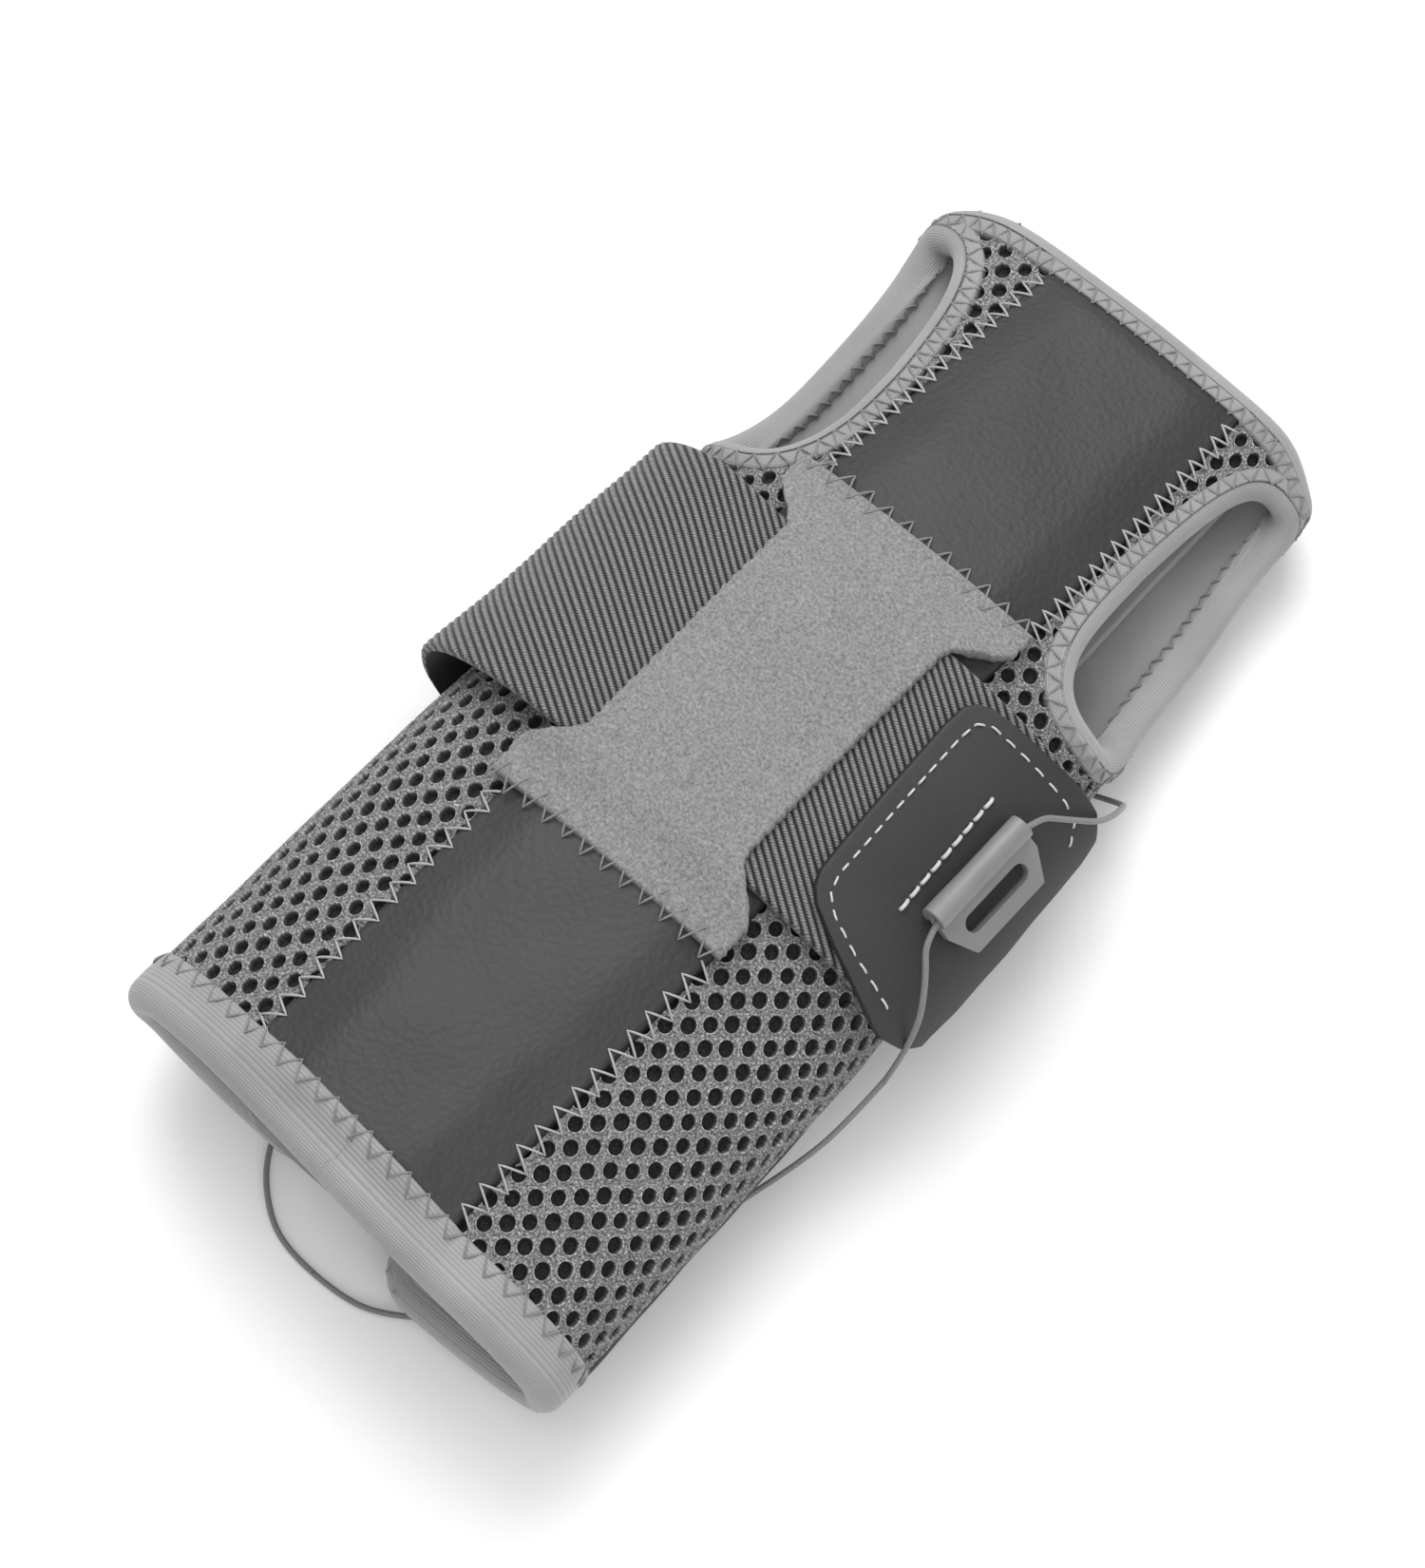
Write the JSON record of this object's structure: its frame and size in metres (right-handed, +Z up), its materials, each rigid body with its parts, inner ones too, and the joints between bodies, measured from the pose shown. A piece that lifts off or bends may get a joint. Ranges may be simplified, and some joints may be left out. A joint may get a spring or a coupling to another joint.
{
  "type": "wrist splint",
  "caption": "Lace-up wrist splint: mesh palm shell with a stay, felt patch and elastic strap, two hinged dorsal flaps, lace guides and a lifting pull tab.",
  "frame": {"origin": "bottom centre of the splint's box, where it lies on its laced dorsal side", "axes": "+Y from the forearm end to the hand end, +X across to the side of the pull tab, +Z up through the palm stay"},
  "size_m": [0.1041, 0.2086, 0.0461],
  "materials": {
    "spacer_mesh": "three-dimensional knitted spacer mesh, light yarn over a dark core",
    "lining_fabric": "smooth brushed knit",
    "edge_tape": "stretch binding tape, finely ribbed",
    "synthetic_leather": "fine pebbled grain, semi-matt",
    "tab_leather": "smooth matt",
    "stay_metal": "rolled",
    "stay_tip": "dipped",
    "loop_felt": "brushed loop pile",
    "elastic_strap": "woven twill elastic",
    "hook_tape": "moulded micro hooks",
    "guide_plastic": "satin moulded",
    "lace_cord": "thin braided cord"
  },
  "bodies": {
    "volar_shell": {"volar_mesh": "spacer_mesh", "volar_lining": "lining_fabric", "forearm_tape_volar": "edge_tape", "hand_tape_volar": "edge_tape", "thumb_tape_left_volar": "edge_tape", "thumb_tape_right_volar": "edge_tape", "stay_cover": "synthetic_leather", "palm_stay": "stay_metal", "stay_tip_forearm": "stay_tip", "stay_tip_hand": "stay_tip", "loop_patch": "loop_felt", "strap_palm": "elastic_strap", "tongue": "lining_fabric"},
    "lace_tab": {"strap_tab_end": "elastic_strap", "pull_tab": "tab_leather", "tab_hook": "hook_tape", "tab_lace_guide": "guide_plastic", "lace_at_tab": "lace_cord"},
    "flap_right": {"flap_mesh_right": "spacer_mesh", "flap_lining_right": "lining_fabric", "flap_tape_right": "edge_tape", "thumb_tape_right_flap": "edge_tape", "facing_right": "synthetic_leather", "lace_guide_right_1": "guide_plastic", "lace_guide_right_2": "guide_plastic", "lace_guide_right_3": "guide_plastic", "lace_right_1": "lace_cord", "lace_right_2": "lace_cord", "lace_right_3": "lace_cord", "lace_upper_lead": "lace_cord", "lace_lower_lead": "lace_cord"},
    "flap_left": {"flap_mesh_left": "spacer_mesh", "flap_lining_left": "lining_fabric", "flap_tape_left": "edge_tape", "thumb_tape_left_flap": "edge_tape", "facing_left": "synthetic_leather", "lace_guide_left_1": "guide_plastic", "lace_guide_left_2": "guide_plastic", "lace_guide_left_3": "guide_plastic", "lace_guide_left_4": "guide_plastic", "lace_left_1": "lace_cord", "lace_left_2": "lace_cord", "lace_left_3": "lace_cord", "lace_left_4": "lace_cord", "strap_flap_end": "elastic_strap", "strap_hook": "hook_tape"}
  },
  "joints": [
    {"name": "tab_lift", "type": "hinge", "parent": "volar_shell", "child": "lace_tab", "pos_m": [0.0154, 0.004, 0.04295], "axis": [0, -0.9991, 0.042], "range_deg": [0, 60]},
    {"name": "flap_right_fold", "type": "hinge", "parent": "volar_shell", "child": "flap_right", "pos_m": [0.0454, 0, 0.018], "axis": [0.0317, -0.9989, 0.0345], "range_deg": [0, 25]},
    {"name": "flap_left_fold", "type": "hinge", "parent": "volar_shell", "child": "flap_left", "pos_m": [-0.0454, 0, 0.018], "axis": [0.0317, 0.9989, -0.0345], "range_deg": [0, 25]}
  ]
}
